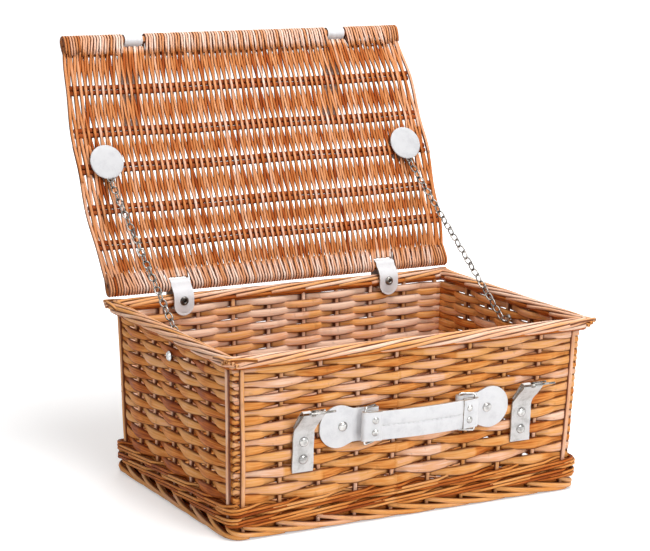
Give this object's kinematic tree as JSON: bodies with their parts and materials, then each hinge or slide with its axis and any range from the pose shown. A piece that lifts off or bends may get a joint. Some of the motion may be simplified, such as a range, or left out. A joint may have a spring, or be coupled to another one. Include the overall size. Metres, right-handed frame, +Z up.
{
  "type": "picnic basket",
  "caption": "Rectangular wicker picnic basket with a hinged lid held open by chains, a padded front handle, and buckled straps.",
  "frame": {"origin": "centre of the box under the whole open basket, on the surface that its foot rests on", "axes": "+X to the right along the front wall, -Y out of the front wall with the handle, +Z up"},
  "size_m": [0.411, 0.428, 0.4255],
  "materials": {
    "willow": "satin, peeled and oiled willow rods",
    "leatherette": "satin white imitation leather",
    "steel": "polished nickel plate"
  },
  "bodies": {
    "basket": {"base_panel": "willow", "wall_front": "willow", "wall_back": "willow", "wall_left": "willow", "wall_right": "willow", "post_front_left": "willow", "post_front_right": "willow", "post_back_left": "willow", "post_back_right": "willow", "rim_front": "willow", "rim_back": "willow", "rim_left": "willow", "rim_right": "willow", "foot_front": "willow", "foot_back": "willow", "foot_left": "willow", "foot_right": "willow", "hinge_strap_left": "leatherette", "hinge_strap_right": "leatherette", "hinge_rivet_left": "steel", "hinge_rivet_right": "steel", "wall_eyelet_left": "steel", "wall_eyelet_right": "steel", "buckle_strap_left": "leatherette", "buckle_strap_right": "leatherette", "strap_rivet_lower_left": "steel", "strap_rivet_lower_right": "steel", "strap_rivet_upper_left": "steel", "strap_rivet_upper_right": "steel", "handle_patch_left": "leatherette", "handle_patch_right": "leatherette", "patch_rivet_left": "steel", "patch_rivet_right": "steel"},
    "lid": {"lid_panel": "willow", "lid_side_left": "willow", "lid_side_right": "willow", "lid_back_border": "willow", "lid_front_border": "willow", "chain_disc_left": "leatherette", "chain_disc_right": "leatherette"},
    "handle": {"handle_grip": "leatherette", "grip_rivet_upper_left": "steel", "grip_rivet_upper_right": "steel", "grip_rivet_lower_left": "steel", "grip_rivet_lower_right": "steel"},
    "lid_strap_body_left": {"lid_strap_left": "leatherette"},
    "lid_strap_body_right": {"lid_strap_right": "leatherette"},
    "chain_upper_body_left": {"chain_upper_left": "steel"},
    "chain_upper_body_right": {"chain_upper_right": "steel"},
    "chain_middle_body_left": {"chain_middle_left": "steel"},
    "chain_middle_body_right": {"chain_middle_right": "steel"},
    "chain_lower_body_left": {"chain_lower_left": "steel"},
    "chain_lower_body_right": {"chain_lower_right": "steel"},
    "buckle_frame_body_left": {"buckle_frame_left": "steel"},
    "buckle_frame_body_right": {"buckle_frame_right": "steel"},
    "buckle_prong_body_left": {"buckle_prong_left": "steel"},
    "buckle_prong_body_right": {"buckle_prong_right": "steel"},
    "handle_ring_body_left": {"handle_ring_left": "steel"},
    "handle_ring_body_right": {"handle_ring_right": "steel"}
  },
  "joints": [
    {"name": "lid_hinge", "type": "hinge", "parent": "basket", "child": "lid", "pos_m": [0, 0.09223, 0.183], "axis": [1, 0, 0], "range_deg": [0, 116]},
    {"name": "chain_upper_fold_left", "type": "hinge", "parent": "lid", "child": "chain_upper_body_left", "pos_m": [-0.175, 0.1334, 0.28475], "axis": [1, 0, 0], "range_deg": [-5.34, 0]},
    {"name": "chain_middle_fold_left", "type": "hinge", "parent": "chain_upper_body_left", "child": "chain_middle_body_left", "pos_m": [-0.17678, 0.05222, 0.22381], "axis": [1, 0, 0], "range_deg": [-91.29, 0]},
    {"name": "chain_lower_fold_left", "type": "hinge", "parent": "chain_middle_body_left", "child": "chain_lower_body_left", "pos_m": [-0.17766, 0.01196, 0.19358], "axis": [1, 0, 0], "range_deg": [-106.26, 0]},
    {"name": "lid_strap_swing_left", "type": "hinge", "parent": "lid", "child": "lid_strap_body_left", "pos_m": [-0.1195, 0.20708, 0.41848], "axis": [1, 0, 0], "range_deg": [-20, 154]},
    {"name": "buckle_tilt_left", "type": "hinge", "parent": "basket", "child": "buckle_frame_body_left", "pos_m": [-0.1195, -0.19096, 0.11781], "axis": [-1, 0, 0], "range_deg": [-90, 55]},
    {"name": "prong_lift_left", "type": "hinge", "parent": "buckle_frame_body_left", "child": "buckle_prong_body_left", "pos_m": [-0.1195, -0.19096, 0.11781], "axis": [-1, 0, 0], "range_deg": [0, 45]},
    {"name": "chain_upper_fold_right", "type": "hinge", "parent": "lid", "child": "chain_upper_body_right", "pos_m": [0.175, 0.1334, 0.28475], "axis": [1, 0, 0], "range_deg": [-5.34, 0]},
    {"name": "chain_middle_fold_right", "type": "hinge", "parent": "chain_upper_body_right", "child": "chain_middle_body_right", "pos_m": [0.17678, 0.05222, 0.22381], "axis": [1, 0, 0], "range_deg": [-91.29, 0]},
    {"name": "chain_lower_fold_right", "type": "hinge", "parent": "chain_middle_body_right", "child": "chain_lower_body_right", "pos_m": [0.17766, 0.01196, 0.19358], "axis": [1, 0, 0], "range_deg": [-106.26, 0]},
    {"name": "lid_strap_swing_right", "type": "hinge", "parent": "lid", "child": "lid_strap_body_right", "pos_m": [0.1195, 0.20708, 0.41848], "axis": [1, 0, 0], "range_deg": [-20, 154]},
    {"name": "buckle_tilt_right", "type": "hinge", "parent": "basket", "child": "buckle_frame_body_right", "pos_m": [0.1195, -0.19096, 0.11781], "axis": [-1, 0, 0], "range_deg": [-90, 55]},
    {"name": "prong_lift_right", "type": "hinge", "parent": "buckle_frame_body_right", "child": "buckle_prong_body_right", "pos_m": [0.1195, -0.19096, 0.11781], "axis": [-1, 0, 0], "range_deg": [0, 45]},
    {"name": "handle_lift", "type": "slide", "parent": "basket", "child": "handle", "axis": [0, -0.9993, -0.0366], "range_m": [0, 0.004]},
    {"name": "ring_turn_left", "type": "hinge", "parent": "basket", "child": "handle_ring_body_left", "pos_m": [-0.046, -0.17705, 0.09731], "axis": [0, -0.0366, 0.9993], "range_deg": [0, 17.88]},
    {"name": "ring_turn_right", "type": "hinge", "parent": "basket", "child": "handle_ring_body_right", "pos_m": [0.046, -0.17705, 0.09731], "axis": [0, -0.0366, 0.9993], "range_deg": [-17.88, 0]}
  ],
  "couplings": [
    {"joint": "chain_upper_fold_left", "follows": "lid_hinge", "ratio": -0.046},
    {"joint": "chain_middle_fold_left", "follows": "lid_hinge", "ratio": -0.787},
    {"joint": "chain_lower_fold_left", "follows": "lid_hinge", "ratio": -0.916},
    {"joint": "chain_upper_fold_right", "follows": "lid_hinge", "ratio": -0.046},
    {"joint": "chain_middle_fold_right", "follows": "lid_hinge", "ratio": -0.787},
    {"joint": "chain_lower_fold_right", "follows": "lid_hinge", "ratio": -0.916},
    {"joint": "ring_turn_left", "follows": "handle_lift", "rad_per_m": 78},
    {"joint": "ring_turn_right", "follows": "handle_lift", "rad_per_m": -78}
  ]
}
